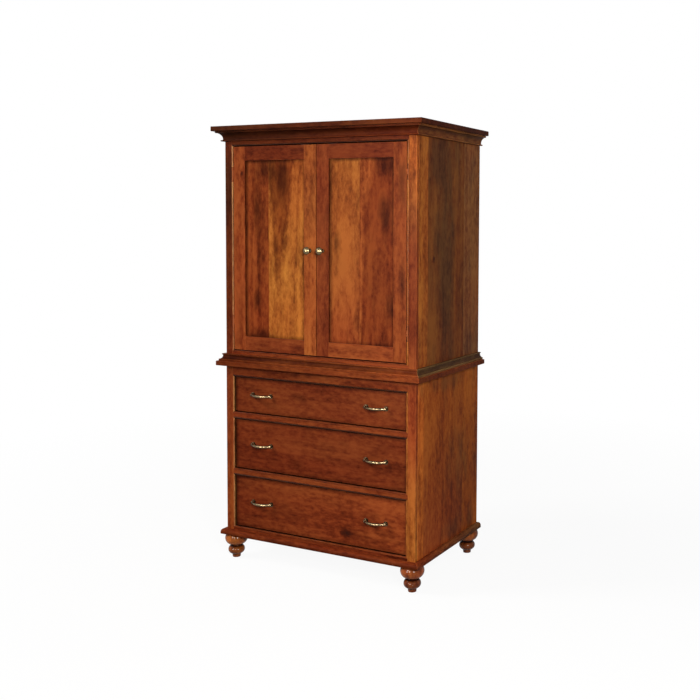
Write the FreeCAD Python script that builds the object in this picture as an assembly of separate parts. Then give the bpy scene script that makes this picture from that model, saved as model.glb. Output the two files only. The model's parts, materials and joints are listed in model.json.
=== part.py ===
import FreeCAD, Part
import math
import os

# A wooden armoire: a two-door cupboard standing on a chest of three drawers with turned feet.
# Millimetres, +Z up, the front faces -Y. The origin is on the floor, under the middle of the whole piece.

V = FreeCAD.Vector

# Case
case_width = 965.0
side_thickness = 20.0
back_thickness = 8.0
frame_thickness = 20.0
stile_width = 36.0
overrun = 5.0

# Beads round the openings
bead_width = 8.0
bead_proud = 2.0

# Top board and chest top
top_thickness = 21.0
top_overhang = 44.0
top_edge_round = 2.5
chest_top_thickness = 20.0
chest_top_overhang = 33.0
chest_top_edge_round = 2.0

# Upper case, upwards
upper_bottom_rail_height = 43.0
door_opening_height = 896.0
upper_top_rail_height = 57.0
floor_thickness = 18.0

# Shelves
shelf_count = 2
shelf_thickness = 18.0
shelf_side_gap = 1.0
shelf_back_gap = 2.0
shelf_setback = 24.0
pin_peg_diameter = 7.0
pin_peg_reach = 14.0
pin_peg_depth = 10.0
pin_peg_inset = 60.0

# Door catches
catch_width = 42.0
catch_depth = 18.0
catch_drop = 12.0
catch_rise = 22.0
catch_offset = 70.0
catch_gap = 0.3

# Doors
door_thickness = 20.0
door_gap = 2.5
door_meeting_gap = 3.0
door_member_width = 61.0
panel_thickness = 8.0
panel_recess = 8.0
panel_groove = 10.0

# Knobs
knob_diameter = 33.0
knob_crown = 9.0
knob_rim = 5.0
knob_neck_diameter = 11.0
knob_neck_length = 19.0
knob_base_diameter = 18.0
knob_base_thickness = 4.0

# Butt hinges
hinge_length = 64.0
hinge_middle_length = 23.0
hinge_end_distance = 120.0
hinge_leaf_thickness = 1.5
hinge_pin_diameter = 4.0
hinge_pin_clearance = 0.05
knuckle_clearance = 0.4
knuckle_gap = 0.5

# Chest, upwards
chest_bottom_rail_height = 33.0
bottom_opening_height = 230.0
middle_opening_height = 222.0
top_opening_height = 156.0
divider_height = 16.5
chest_top_rail_height = 41.0
chest_bottom_thickness = 18.0

# Drawers
drawer_gap = 2.5
drawer_recess = 8.0
drawer_front_thickness = 18.0
drawer_side_thickness = 12.0
drawer_side_gap = 3.0
drawer_top_gap = 14.0
drawer_box_length = 480.0
drawer_back_gap = 70.0
drawer_bottom_thickness = 6.0
drawer_bottom_lift = 10.0
drawer_bottom_groove = 6.0
runner_height = 20.0
runner_lift = 7.5
runner_gap = 0.3
runner_setback = 6.0

# Pulls
pull_offset = 292.0
pull_rise = 4.0
pull_centres = 96.0
pull_reach = 9.0
pull_bow = 22.0
pull_bar_diameter = 11.0
pull_end_diameter = 15.0
pull_post_diameter = 10.0
pull_base_diameter = 20.0
pull_base_thickness = 2.5

# Cornice
cornice_height = 43.0
cornice_reach = 31.0
cornice_fillet_height = 7.0
cornice_fillet_step = 5.0
cornice_lip_reach = 14.0
cornice_lip_height = 6.0
cornice_lip_step = 7.0

# Waist moulding
waist_height = 32.0
waist_reach = 24.0
waist_fillet_height = 9.0
waist_fillet_step = 3.0
waist_lip_reach = 14.0
waist_lip_height = 5.0
waist_lip_step = 3.0

# Base moulding
base_height = 23.0
base_reach = 22.0
base_round = 13.0

# Feet
foot_inset = 28.0
foot_back_inset = 42.0
foot_tip_diameter = 35.0
foot_stub_diameter = 39.0
foot_stub_height = 15.0
foot_ball_diameter = 73.0
foot_ball_height = 39.0
foot_neck_diameter = 46.0
foot_neck_height = 3.0
foot_bun_diameter = 101.0
foot_bun_height = 53.0
foot_top_diameter = 82.0

# Share of a cove's rise and run that its curve sinks in from the straight line between its ends
cove_share = 0.2

# Share of a foot's bun that lies below its widest part
bun_low_share = 0.58

# Heights above the floor
foot_height = foot_stub_height + foot_ball_height + foot_neck_height + foot_bun_height
drawer_opening_heights = (bottom_opening_height, middle_opening_height, top_opening_height)
drawer_lows = []
rail_high = foot_height + chest_bottom_rail_height
for opening_height in drawer_opening_heights:
    drawer_lows.append(rail_high + bead_width)
    rail_high += opening_height + 2 * bead_width + divider_height
chest_high = rail_high - divider_height + chest_top_rail_height
upper_low = chest_high + chest_top_thickness
door_opening_low = upper_low + upper_bottom_rail_height + bead_width
door_opening_high = door_opening_low + door_opening_height
upper_high = door_opening_high + bead_width + upper_top_rail_height
door_low = door_opening_low + door_gap
door_high = door_opening_high - door_gap

# Places across and from front to back
half_width = case_width / 2
drawer_depth = drawer_recess + drawer_front_thickness + drawer_box_length
case_depth = drawer_depth + drawer_back_gap + back_thickness
inner_half = half_width - side_thickness
rail_half = half_width - stile_width
opening_half = rail_half - bead_width
foot_back_reach = max(0, foot_bun_diameter / 2 - foot_back_inset)
case_front = (top_overhang - case_depth - foot_back_reach) / 2
case_back = case_front + case_depth
frame_back = case_front + frame_thickness
back_front = case_back - back_thickness
door_outer = opening_half - door_gap
door_inner = door_meeting_gap / 2
door_back = case_front + door_thickness
panel_front = case_front + panel_recess

# Hinge pins, in the middle of the bead
pin_radius = hinge_pin_diameter / 2
knuckle_radius = bead_width / 2 - knuckle_clearance
pin_x = opening_half + bead_width / 2
pin_y = case_front - bead_proud + bead_width / 2
knuckle_back = pin_y + knuckle_radius + knuckle_clearance
hinge_middles = (door_low + hinge_end_distance, door_high - hinge_end_distance)

# Drawers
drawer_half = opening_half - drawer_gap
drawer_face = case_front + drawer_recess
drawer_rear = drawer_face + drawer_front_thickness
box_half = opening_half - drawer_side_gap
box_inner = box_half - drawer_side_thickness
box_back = drawer_rear + drawer_box_length
runner_front = frame_back + runner_setback


def block(low, high):
    """A box between two opposite corners."""
    return Part.makeBox(high[0] - low[0], high[1] - low[1], high[2] - low[2], V(*low))


def mirrored(shape):
    """The same piece on the other side of the middle."""
    return shape.mirror(V(0, 0, 0), V(1, 0, 0))


def group(shapes):
    """Separate solids kept together as one set."""
    return Part.Compound([solid for shape in shapes for solid in shape.Solids])


def pair(shape):
    """A piece and its mirror image."""
    return group([shape, mirrored(shape)])


def prism(points, along):
    """A straight-sided outline carried along a direction."""
    corners = [V(*point) for point in points]
    return Part.Face(Part.makePolygon(corners + corners[:1])).extrude(V(*along))


def outline_face(steps, place):
    """A flat face inside lines and arcs; a step of two points is an arc's middle and its end."""
    first = place(*steps[0])
    here = first
    edges = []
    for step in steps[1:]:
        if isinstance(step[0], tuple):
            there = place(*step[1])
            edges.append(Part.Arc(here, place(*step[0]), there).toShape())
        else:
            there = place(*step)
            edges.append(Part.LineSegment(here, there).toShape())
        here = there
    edges.append(Part.LineSegment(here, first).toShape())
    return Part.Face(Part.Wire(edges))


def turned(steps, base, along):
    """A turned piece: an outline of radii and heights spun about its axis."""
    across = V(1, 0, 0)
    face = outline_face(steps, lambda radius, rise: base + across * radius + along * rise)
    return face.revolve(base, along, 360)


def swelling(start, widest, end):
    """Two arcs of a turned outline that meet upright at its widest point."""
    middles = []
    for near in (start, end):
        out = widest[0] - near[0]
        rise = near[1] - widest[1]
        radius = (out ** 2 + rise ** 2) / (2 * out)
        half_turn = math.copysign(math.acos(1 - out / radius) / 2, rise)
        middles.append((widest[0] - radius + radius * math.cos(half_turn),
                        widest[1] + radius * math.sin(half_turn)))
    return [(middles[0], widest), (middles[1], end)]


def cove(start, end):
    """The hollow arc from one point of a moulding's outline up to the next."""
    run = end[0] - start[0]
    rise = end[1] - start[1]
    middle = ((start[0] + end[0]) / 2 - rise * cove_share, (start[1] + end[1]) / 2 + run * cove_share)
    return (middle, end)


def slab(low, thickness, overhang, edge_round):
    """A board that overhangs the case at the front and sides, with eased edges."""
    reach = half_width + overhang
    board = block((-reach, case_front - overhang, low), (reach, case_back, low + thickness))
    return board.makeFillet(edge_round, board.Edges)


def mitred_moulding(steps, reach, low, height):
    """A moulding round the front and sides: its front length and its two returns, mitred at the corners."""
    left = -half_width
    corner = (left - reach, case_front - reach)
    bottom = low - overrun
    tall = height + 2 * overrun

    front = outline_face(steps, lambda out, up: V(corner[0], case_front - out, low + up))
    front = front.extrude(V(case_width + 2 * reach, 0, 0))
    plan = [corner, (-corner[0], corner[1]), (half_width, case_front), (left, case_front)]
    front = front.common(prism([(x, y, bottom) for x, y in plan], (0, 0, tall)))

    side = outline_face(steps, lambda out, up: V(left - out, corner[1], low + up))
    side = side.extrude(V(0, case_depth + reach, 0))
    plan = [corner, (left, case_front), (left, case_back), (corner[0], case_back)]
    side = side.common(prism([(x, y, bottom) for x, y in plan], (0, 0, tall)))
    return front.Solids[0], pair(side.Solids[0])


def cornice():
    """Lip, cove and fillet under the top board."""
    lip_round = cornice_lip_reach - cornice_lip_height / 2
    cove_low = (cornice_lip_reach - cornice_lip_step, cornice_lip_height)
    cove_high = (cornice_reach - cornice_fillet_step, cornice_height - cornice_fillet_height)
    steps = [
        (0, 0),
        (lip_round, 0),
        ((cornice_lip_reach, cornice_lip_height / 2), (lip_round, cornice_lip_height)),
        cove_low,
        cove(cove_low, cove_high),
        (cornice_reach, cove_high[1]),
        (cornice_reach, cornice_height),
        (0, cornice_height),
    ]
    return mitred_moulding(steps, cornice_reach, upper_high - cornice_height, cornice_height)


def waist():
    """Fillet, cove and lip that cover the joint of the upper case and the chest."""
    cove_low = (waist_reach - waist_fillet_step, waist_fillet_height)
    lip_low = waist_height - waist_lip_height
    cove_high = (waist_lip_reach - waist_lip_step, lip_low)
    steps = [
        (0, 0),
        (waist_reach, 0),
        (waist_reach, waist_fillet_height),
        cove_low,
        cove(cove_low, cove_high),
        (waist_lip_reach, lip_low),
        (waist_lip_reach, waist_height),
        (0, waist_height),
    ]
    return mitred_moulding(steps, waist_reach, upper_low, waist_height)


def base():
    """Moulding with a rounded upper edge at the foot of the chest."""
    round_low = base_height - base_round
    turn = base_round / 2 ** 0.5
    steps = [
        (0, 0),
        (base_reach, 0),
        (base_reach, round_low),
        ((base_reach - base_round + turn, round_low + turn), (base_reach - base_round, base_height)),
        (0, base_height),
    ]
    return mitred_moulding(steps, base_reach, foot_height, base_height)


def bead_strips(low, high):
    """The four mitred strips with rounded noses round an opening: left, right, top and bottom."""
    nose = bead_width / 2 - bead_proud
    steps = [
        (0, frame_thickness),
        (0, nose),
        ((bead_width / 2, -bead_proud), (bead_width, nose)),
        (bead_width, frame_thickness),
    ]
    far = case_front - bead_proud - overrun
    deep = (0, frame_thickness + bead_proud + 2 * overrun, 0)
    under = low - bead_width
    over = high + bead_width

    left = outline_face(steps, lambda t, y: V(-opening_half - t, case_front + y, under))
    left = left.extrude(V(0, 0, over - under))
    corners = [(-opening_half, low), (-opening_half, high), (-rail_half, over), (-rail_half, under)]
    left = left.common(prism([(x, far, z) for x, z in corners], deep)).Solids[0]

    top = outline_face(steps, lambda t, y: V(-rail_half, case_front + y, high + t))
    top = top.extrude(V(2 * rail_half, 0, 0))
    corners = [(-opening_half, high), (opening_half, high), (rail_half, over), (-rail_half, over)]
    top = top.common(prism([(x, far, z) for x, z in corners], deep)).Solids[0]

    bottom = outline_face(steps, lambda t, y: V(-rail_half, case_front + y, low - t))
    bottom = bottom.extrude(V(2 * rail_half, 0, 0))
    corners = [(-opening_half, low), (opening_half, low), (rail_half, under), (-rail_half, under)]
    bottom = bottom.common(prism([(x, far, z) for x, z in corners], deep)).Solids[0]
    return left, mirrored(left), top, bottom


def hinge_span(middle):
    """Lowest and highest point of a hinge."""
    return middle - hinge_length / 2, middle + hinge_length / 2


def frame_leaf_plate(middle):
    """The flat of a frame leaf, let into the bead strip's edge."""
    low, high = hinge_span(middle)
    return block((-opening_half - hinge_leaf_thickness, knuckle_back, low), (-opening_half, frame_back, high))


def door_leaf_plate(middle):
    """The flat of a door leaf, let into the door's edge."""
    low, high = hinge_span(middle)
    edge = -door_outer
    return block((edge, pin_y - hinge_leaf_thickness / 2, low), (edge + hinge_leaf_thickness, door_back, high))


def knuckle(low, high, bore_radius):
    """A tube of the hinge barrel."""
    tube = Part.makeCylinder(knuckle_radius, high - low, V(-pin_x, pin_y, low))
    return tube, Part.makeCylinder(bore_radius, high - low, V(-pin_x, pin_y, low))


def frame_leaf(middle):
    """Left frame leaf with its two outer knuckles."""
    low, high = hinge_span(middle)
    reach = hinge_middle_length / 2 + knuckle_gap
    leaf = frame_leaf_plate(middle)
    for start, end in ((low, middle - reach), (middle + reach, high)):
        tube, bore = knuckle(start, end, pin_radius)
        web = block((-opening_half - hinge_leaf_thickness, pin_y, start), (-opening_half, knuckle_back, end))
        leaf = leaf.fuse(tube.fuse(web)).cut(bore)
    return leaf.removeSplitter().Solids[0]


def door_leaf(middle):
    """Left door leaf with its middle knuckle, free to turn on the pin."""
    reach = hinge_middle_length / 2
    tube, bore = knuckle(middle - reach, middle + reach, pin_radius + hinge_pin_clearance)
    half = hinge_leaf_thickness / 2
    inside = -pin_x + (pin_radius + knuckle_radius) / 2
    web = block((inside, pin_y - half, middle - reach), (-door_outer, pin_y + half, middle + reach))
    leaf = door_leaf_plate(middle).fuse(web).fuse(tube).cut(bore)
    return leaf.removeSplitter().Solids[0]


def hinge_pin(middle):
    """Left hinge pin."""
    low, high = hinge_span(middle)
    return Part.makeCylinder(pin_radius, high - low, V(-pin_x, pin_y, low))


def door_beads():
    """Strips round the door opening, cut away for the hinges."""
    left, right, top, bottom = bead_strips(door_opening_low, door_opening_high)
    for middle in hinge_middles:
        low, high = hinge_span(middle)
        pocket = block((-rail_half, case_front - bead_proud - overrun, low - knuckle_gap),
                       (-opening_half, knuckle_back, high + knuckle_gap))
        left = left.cut(pocket).cut(frame_leaf_plate(middle))
    left = left.Solids[0]
    return group([left, mirrored(left), top, bottom])


def left_door():
    """Stiles, rails, panel, knob and hinge leaves of the left door."""
    outer = -door_outer
    inner = -door_inner
    rail_left = outer + door_member_width
    rail_right = inner - door_member_width
    rail_top = door_high - door_member_width
    rail_bottom = door_low + door_member_width
    panel = block((rail_left - panel_groove, panel_front, rail_bottom - panel_groove),
                  (rail_right + panel_groove, panel_front + panel_thickness, rail_top + panel_groove))
    hinge_stile = block((outer, case_front, door_low), (rail_left, door_back, door_high)).cut(panel)
    for middle in hinge_middles:
        hinge_stile = hinge_stile.cut(door_leaf_plate(middle))
    meeting_stile = block((rail_right, case_front, door_low), (inner, door_back, door_high)).cut(panel)
    top_rail = block((rail_left, case_front, rail_top), (rail_right, door_back, door_high)).cut(panel)
    bottom_rail = block((rail_left, case_front, door_low), (rail_right, door_back, rail_bottom)).cut(panel)
    knob_place = V((rail_right + inner) / 2, case_front, (door_low + door_high) / 2)
    return {
        "hinge_stile": hinge_stile.Solids[0],
        "meeting_stile": meeting_stile.Solids[0],
        "rails": group([top_rail.Solids[0], bottom_rail.Solids[0]]),
        "panel": panel,
        "knob": knob(knob_place),
        "hinge_leaves": group([door_leaf(middle) for middle in hinge_middles]),
    }


def knob(place):
    """A round knob: base, waisted neck and domed head."""
    base_radius = knob_base_diameter / 2
    neck_radius = knob_neck_diameter / 2
    head_radius = knob_diameter / 2
    neck_high = knob_base_thickness + knob_neck_length
    neck_middle = knob_base_thickness + knob_neck_length / 2
    rim_high = neck_high + knob_rim
    dome_radius = (head_radius ** 2 + knob_crown ** 2) / (2 * knob_crown)
    dome_half = (dome_radius ** 2 - (head_radius / 2) ** 2) ** 0.5 - dome_radius + knob_crown
    steps = [
        (0, 0),
        (base_radius, 0),
        (base_radius, knob_base_thickness),
        ((neck_radius, neck_middle), (base_radius, neck_high)),
        (head_radius, neck_high + knob_rim / 2),
        (head_radius, rim_high),
        ((head_radius / 2, rim_high + dome_half), (0, rim_high + knob_crown)),
    ]
    return turned(steps, place, V(0, -1, 0))


def pull(middle_x, middle_z):
    """A bow pull: two posts on round bases, ball ends and a bar that bows forward between them."""
    tip_y = drawer_face - pull_reach
    half = pull_centres / 2
    bow_radius = (half ** 2 + pull_bow ** 2) / (2 * pull_bow)
    bow_middle = V(middle_x, tip_y - pull_bow + bow_radius, middle_z)
    end = V(middle_x - half, tip_y, middle_z)
    forward = (end - bow_middle).normalize()
    along = V(-forward.y, forward.x, 0)
    ring = Part.Circle(end, along, pull_bar_diameter / 2)
    sweep = 2 * math.degrees(math.asin(half / bow_radius))
    shape = Part.Face(Part.Wire(ring.toShape())).revolve(bow_middle, V(0, 0, 1), sweep)
    for side in (-half, half):
        foot = V(middle_x + side, drawer_face, middle_z)
        forth = V(0, -1, 0)
        base_disc = Part.makeCylinder(pull_base_diameter / 2, pull_base_thickness, foot, forth)
        post = Part.makeCylinder(pull_post_diameter / 2, pull_reach, foot, forth)
        ball = Part.makeSphere(pull_end_diameter / 2, foot + forth * pull_reach)
        if side < 0:
            # The bar leaves this ball next to its seam, which turns away so that a STEP reader keeps the shape
            ball.rotate(foot + forth * pull_reach, V(0, 0, 1), 180)
        shape = shape.fuse(base_disc).fuse(post).fuse(ball)
    return shape.removeSplitter().Solids[0]


def drawer(low, opening_height):
    """Front, sides, back, bottom and pulls of a drawer behind an opening."""
    high = low + opening_height
    box_low = low + runner_lift + runner_gap
    box_high = high - drawer_top_gap
    bottom_low = box_low + drawer_bottom_lift
    back_inside = box_back - drawer_side_thickness
    front = block((-drawer_half, drawer_face, low + drawer_gap), (drawer_half, drawer_rear, high - drawer_gap))
    bottom = block((-box_inner - drawer_bottom_groove, drawer_rear, bottom_low),
                   (box_inner + drawer_bottom_groove, back_inside + drawer_bottom_groove,
                    bottom_low + drawer_bottom_thickness))
    side = block((-box_half, drawer_rear, box_low), (-box_inner, box_back, box_high)).cut(bottom)
    back = block((-box_inner, back_inside, box_low), (box_inner, box_back, box_high)).cut(bottom)
    pull_middle = (low + high) / 2 + pull_rise
    return {
        "front": front,
        "sides": pair(side.Solids[0]),
        "back": back.Solids[0],
        "bottom": bottom,
        "pulls": group([pull(-pull_offset, pull_middle), pull(pull_offset, pull_middle)]),
    }


def drawer_runners():
    """A strip on each side of the chest under each drawer."""
    strips = []
    for low in drawer_lows:
        top = low + runner_lift
        strip = block((-inner_half, runner_front, top - runner_height), (-box_inner, back_front, top))
        strips += [strip, mirrored(strip)]
    return group(strips)


def drawer_beads():
    """Strips round the three drawer openings."""
    strips = []
    for low, opening_height in zip(drawer_lows, drawer_opening_heights):
        strips += bead_strips(low, low + opening_height)
    return group(strips)


def dividers():
    """Rails between the drawers."""
    rails = []
    for low, opening_height in list(zip(drawer_lows, drawer_opening_heights))[:-1]:
        start = low + opening_height + bead_width
        rails.append(block((-rail_half, case_front, start), (rail_half, frame_back, start + divider_height)))
    return group(rails)


def shelf_levels():
    """Undersides of the shelves, evenly spaced over the door opening."""
    step = (door_opening_height - shelf_count * shelf_thickness) / (shelf_count + 1)
    return [door_opening_low + step + row * (step + shelf_thickness) for row in range(shelf_count)]


def shelf_pins():
    """Pegs in the sides, four under each shelf."""
    length = pin_peg_depth + pin_peg_reach
    pegs = []
    for level in shelf_levels():
        for y in (door_back + shelf_setback + pin_peg_inset, back_front - pin_peg_inset):
            place = V(-inner_half - pin_peg_depth, y, level - pin_peg_diameter / 2)
            peg = Part.makeCylinder(pin_peg_diameter / 2, length, place, V(1, 0, 0))
            pegs += [peg, mirrored(peg)]
    return group(pegs)


def shelves():
    """Loose shelves between the sides."""
    reach = inner_half - shelf_side_gap
    front = door_back + shelf_setback
    back = back_front - shelf_back_gap
    return group([block((-reach, front, level), (reach, back, level + shelf_thickness))
                          for level in shelf_levels()])


def case_side(low, high):
    """Left side of a case, behind its stile."""
    return block((-half_width, frame_back, low), (-inner_half, case_back, high))


def stiles(low, high):
    """Both stiles of a face frame."""
    return pair(block((-half_width, case_front, low), (-rail_half, frame_back, high)))


def rail(low, height):
    """A rail between the stiles."""
    return block((-rail_half, case_front, low), (rail_half, frame_back, low + height))


def panel_between(low, high, front, back):
    """A board between the sides."""
    return block((-inner_half, front, low), (inner_half, back, high))


def catches():
    """A stop and catch for each door, behind the top rail."""
    front = frame_back + catch_gap
    body = block((-catch_offset - catch_width / 2, front, door_opening_high - catch_drop),
                 (-catch_offset + catch_width / 2, frame_back + catch_depth, door_opening_high + catch_rise))
    seat = block((-catch_offset - catch_width / 2, frame_back, door_opening_high),
                 (-catch_offset + catch_width / 2, front, door_opening_high + catch_rise))
    return pair(body.fuse(seat).removeSplitter().Solids[0])


def foot(x, y):
    """A turned foot: stub, ball, neck and bun."""
    tip = foot_tip_diameter / 2
    stub = foot_stub_diameter / 2
    neck = foot_neck_diameter / 2
    ball_high = foot_stub_height + foot_ball_height
    bun_low = ball_high + foot_neck_height
    ball_widest = (foot_ball_diameter / 2, foot_stub_height + foot_ball_height / 2)
    bun_widest = (foot_bun_diameter / 2, bun_low + foot_bun_height * bun_low_share)
    steps = [(0, 0), (tip, 0), (stub, foot_stub_height)]
    steps += swelling((stub, foot_stub_height), ball_widest, (neck, ball_high))
    steps.append((neck, bun_low))
    steps += swelling((neck, bun_low), bun_widest, (foot_top_diameter / 2, foot_height))
    steps.append((0, foot_height))
    return turned(steps, V(x, y, 0), V(0, 0, 1))


def feet():
    """Four feet under the corners."""
    x = half_width - foot_inset
    rows = (case_front + foot_inset, case_back - foot_back_inset)
    return group([foot(side * x, y) for y in rows for side in (-1, 1)])


def upper_side():
    """Left side of the upper case, drilled for the shelf pins."""
    side = case_side(upper_low, upper_high)
    for peg in shelf_pins().Solids:
        if peg.CenterOfMass.x < 0:
            side = side.cut(peg)
    return side.Solids[0]


def armoire():
    """Every piece under its name."""
    pieces = {}
    pieces["top_board"] = slab(upper_high, top_thickness, top_overhang, top_edge_round)
    pieces["cornice_front"], pieces["cornice_returns"] = cornice()
    pieces["upper_left_side"] = upper_side()
    pieces["upper_right_side"] = mirrored(pieces["upper_left_side"])
    floor_low = door_opening_low - floor_thickness
    pieces["upper_floor"] = panel_between(floor_low, door_opening_low, frame_back, back_front)
    pieces["upper_back"] = panel_between(upper_low, upper_high, back_front, case_back)
    pieces["upper_stiles"] = stiles(upper_low, upper_high)
    pieces["upper_top_rail"] = rail(door_opening_high + bead_width, upper_top_rail_height)
    pieces["upper_bottom_rail"] = rail(upper_low, upper_bottom_rail_height)
    pieces["door_opening_beads"] = door_beads()
    pieces["shelves"] = shelves()
    pieces["shelf_pins"] = shelf_pins()
    pieces["door_catches"] = catches()
    pieces["hinge_frame_leaves"] = group([pair(frame_leaf(middle)) for middle in hinge_middles])
    pieces["hinge_pins"] = group([pair(hinge_pin(middle)) for middle in hinge_middles])
    pieces["waist_front"], pieces["waist_returns"] = waist()
    pieces["chest_top"] = slab(chest_high, chest_top_thickness, chest_top_overhang, chest_top_edge_round)
    pieces["chest_left_side"] = case_side(foot_height, chest_high)
    pieces["chest_right_side"] = mirrored(pieces["chest_left_side"])
    bottom_high = foot_height + chest_bottom_thickness
    pieces["chest_bottom"] = panel_between(foot_height, bottom_high, frame_back, back_front)
    pieces["chest_back"] = panel_between(foot_height, chest_high, back_front, case_back)
    pieces["chest_stiles"] = stiles(foot_height, chest_high)
    pieces["chest_top_rail"] = rail(chest_high - chest_top_rail_height, chest_top_rail_height)
    pieces["drawer_dividers"] = dividers()
    pieces["chest_bottom_rail"] = rail(foot_height, chest_bottom_rail_height)
    pieces["drawer_opening_beads"] = drawer_beads()
    pieces["drawer_runners"] = drawer_runners()
    pieces["base_front"], pieces["base_returns"] = base()
    pieces["feet"] = feet()
    for name, shape in left_door().items():
        pieces["left_door_" + name] = shape
        pieces["right_door_" + name] = mirrored(shape)
    names = ("bottom_drawer", "middle_drawer", "top_drawer")
    for name, low, opening_height in zip(names, drawer_lows, drawer_opening_heights):
        for part_name, shape in drawer(low, opening_height).items():
            pieces[name + "_" + part_name] = shape
    return pieces


os.makedirs("parts", exist_ok=True)
for node, shape in armoire().items():
    shape.exportStep("parts/" + node + ".step")
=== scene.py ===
import bisect
import json
import math
import random

import bmesh
import bpy
from mathutils import Matrix, Vector


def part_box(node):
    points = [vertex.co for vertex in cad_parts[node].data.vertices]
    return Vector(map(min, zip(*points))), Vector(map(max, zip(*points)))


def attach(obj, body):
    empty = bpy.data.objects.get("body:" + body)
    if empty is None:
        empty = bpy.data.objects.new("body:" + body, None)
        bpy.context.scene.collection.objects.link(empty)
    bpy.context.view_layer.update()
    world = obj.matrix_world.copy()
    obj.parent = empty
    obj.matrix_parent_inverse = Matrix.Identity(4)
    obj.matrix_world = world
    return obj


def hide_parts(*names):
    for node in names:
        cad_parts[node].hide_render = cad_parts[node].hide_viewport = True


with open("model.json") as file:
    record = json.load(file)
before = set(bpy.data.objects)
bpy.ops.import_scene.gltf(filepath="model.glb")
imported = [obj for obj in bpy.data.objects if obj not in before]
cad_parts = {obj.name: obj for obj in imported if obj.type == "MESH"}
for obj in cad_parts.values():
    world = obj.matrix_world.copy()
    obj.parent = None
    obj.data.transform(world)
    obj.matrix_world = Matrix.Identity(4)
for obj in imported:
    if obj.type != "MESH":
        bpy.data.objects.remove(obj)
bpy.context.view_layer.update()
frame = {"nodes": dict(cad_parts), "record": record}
nodes = frame["nodes"]
bodies = frame["record"]["behaviour"]["bodies"]
body_of = {node: body for body, members in bodies.items() for node in members}
slot_of = {row["node"]: row["material_slot"] for row in frame["record"]["subparts"]}


def linear(*srgb):
    """A colour as it looks on a screen, 0 to 255, as scene-linear numbers."""
    return tuple(
        c / 255 / 12.92 if c / 255 <= 0.04045 else ((c / 255 + 0.055) / 1.055) ** 2.4 for c in srgb
    )


# Middle colour of each kind of board
TONES = {
    "blond": linear(172, 112, 64),
    "gold": linear(176, 104, 42),
    "copper": linear(185, 97, 40),
    "honey": linear(162, 90, 38),
    "amber": linear(156, 80, 36),
    "cherry": linear(145, 68, 32),
    "ginger": linear(154, 79, 31),
    "rust": linear(138, 63, 28),
    "russet": linear(128, 57, 27),
    "brick": linear(117, 50, 23),
    "cocoa": linear(100, 44, 19),
    "umber": linear(72, 34, 17),
    "walnut": linear(116, 63, 29),
    "bark": linear(108, 67, 38),
    "fawn": linear(132, 81, 45),
    "olive": linear(108, 76, 46),
    "chestnut": linear(142, 86, 46),
    "pale": linear(206, 170, 120),
    "sand": linear(150, 108, 68),
}
# How much lighter a board's lightest streaks are than its middle colour
STREAK_LIGHT = (1.36, 1.58, 1.46)

# Sockets that share a name with others, by their places
MIX_FACTOR, MIX_FIRST, MIX_SECOND, MIX_RESULT = 0, 6, 7, 2
RANGE_VALUE, FROM_LOW, FROM_HIGH, TO_LOW, TO_HIGH = range(5)


class Graph:
    """A material's nodes, with short calls for the ones that repeat."""

    def __init__(self, name):
        self.material = bpy.data.materials.new(name)
        self.material.use_nodes = True
        self.tree = self.material.node_tree
        self.shader = self.tree.nodes["Principled BSDF"]

    def put(self, socket, value):
        if isinstance(value, bpy.types.NodeSocket):
            self.tree.links.new(value, socket)
        else:
            socket.default_value = value

    def add(self, kind, values=(), **settings):
        node = self.tree.nodes.new(kind)
        for name, value in settings.items():
            setattr(node, name, value)
        for key, value in dict(values).items():
            self.put(node.inputs[key], value)
        return node

    def math(self, operation, *values):
        return self.add("ShaderNodeMath", enumerate(values), operation=operation).outputs[0]

    def vector(self, operation, *values, out="Vector"):
        return self.add("ShaderNodeVectorMath", enumerate(values), operation=operation).outputs[out]

    def length(self, vector):
        return self.vector("LENGTH", vector, out="Value")

    def noise(self, vector, w, detail, roughness, scale=1.0):
        values = {"Vector": vector, "W": w, "Scale": scale, "Detail": detail, "Roughness": roughness}
        return self.add("ShaderNodeTexNoise", values, noise_dimensions="4D").outputs[0]

    def even_noise(self, place, changes, w, detail, roughness):
        """Noise that changes equally often each way."""
        return self.noise(self.vector("MULTIPLY", place, (changes,) * 3), w, detail, roughness)

    def average(self, first, second):
        return self.math("MULTIPLY_ADD", first, 0.5, self.math("MULTIPLY", second, 0.5))

    def attribute(self, name, out):
        return self.add("ShaderNodeAttribute", attribute_name=name).outputs[out]

    def ramp(self, value, stops):
        node = self.add("ShaderNodeValToRGB", {0: value})
        elements = node.color_ramp.elements
        while len(elements) < len(stops):
            elements.new(0.5)
        for element, (place, colour) in zip(elements, stops):
            element.position = place
            element.color = (*colour, 1.0)
        return node.outputs[0]

    def mix(self, factor, first, second, blend="MIX"):
        node = self.add("ShaderNodeMix", data_type="RGBA", blend_type=blend)
        self.put(node.inputs[MIX_FACTOR], factor)
        self.put(node.inputs[MIX_FIRST], first)
        self.put(node.inputs[MIX_SECOND], second)
        return node.outputs[MIX_RESULT]

    def tinted(self, factor, colour, tint):
        return self.mix(factor, colour, (*tint, 1.0), "MULTIPLY")

    def span(self, value, low, high):
        """A 0 to 1 value spread between two numbers."""
        values = {RANGE_VALUE: value, TO_LOW: low, TO_HIGH: high}
        return self.add("ShaderNodeMapRange", values).outputs[0]

    def clamped(self, value, low, high):
        """0 at one number and 1 at the other, and no further."""
        values = {RANGE_VALUE: value, FROM_LOW: low, FROM_HIGH: high}
        return self.add("ShaderNodeMapRange", values).outputs[0]

    def open_share(self, reach):
        """The share of the sky within reach that the piece itself leaves open."""
        return self.add("ShaderNodeAmbientOcclusion", {"Distance": reach}, only_local=True).outputs["AO"]

    def bump(self, height, strength, distance):
        node = self.add("ShaderNodeBump", {"Height": height, "Strength": strength, "Distance": distance})
        self.put(self.shader.inputs["Normal"], node.outputs[0])


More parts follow.
